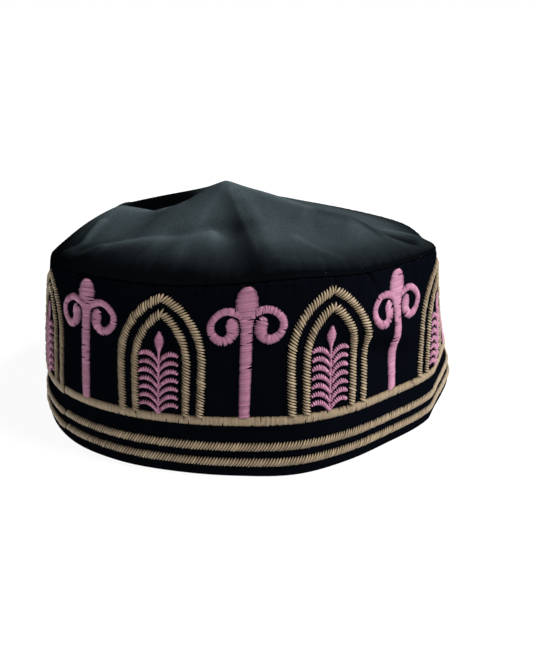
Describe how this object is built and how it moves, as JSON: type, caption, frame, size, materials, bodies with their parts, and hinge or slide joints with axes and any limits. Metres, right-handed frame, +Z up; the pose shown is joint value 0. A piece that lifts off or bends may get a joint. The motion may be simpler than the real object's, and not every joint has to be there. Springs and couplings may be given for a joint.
{
  "type": "prayer cap",
  "caption": "Soft black prayer cap: an upright oval side band, embroidered with arches, columns and stripes, under a cloth crown that has sunk into folds. The head goes in from below.",
  "frame": {"origin": "the middle of the cap's outline, on the surface that its rim rests on", "axes": "+X along the longer way of the oval, which lies front to back on a head; +Y across it, away from the side that the crown's main folds hang towards; +Z up, out of the crown"},
  "size_m": [0.198, 0.1677, 0.0977],
  "materials": {
    "band": "matt near-black cotton, embroidered on its outside with tan and dusty pink satin thread",
    "crown": "matt black cotton with a faint grey sheen"
  },
  "bodies": {
    "root": {"band": "band", "crown": "crown"}
  },
  "joints": []
}
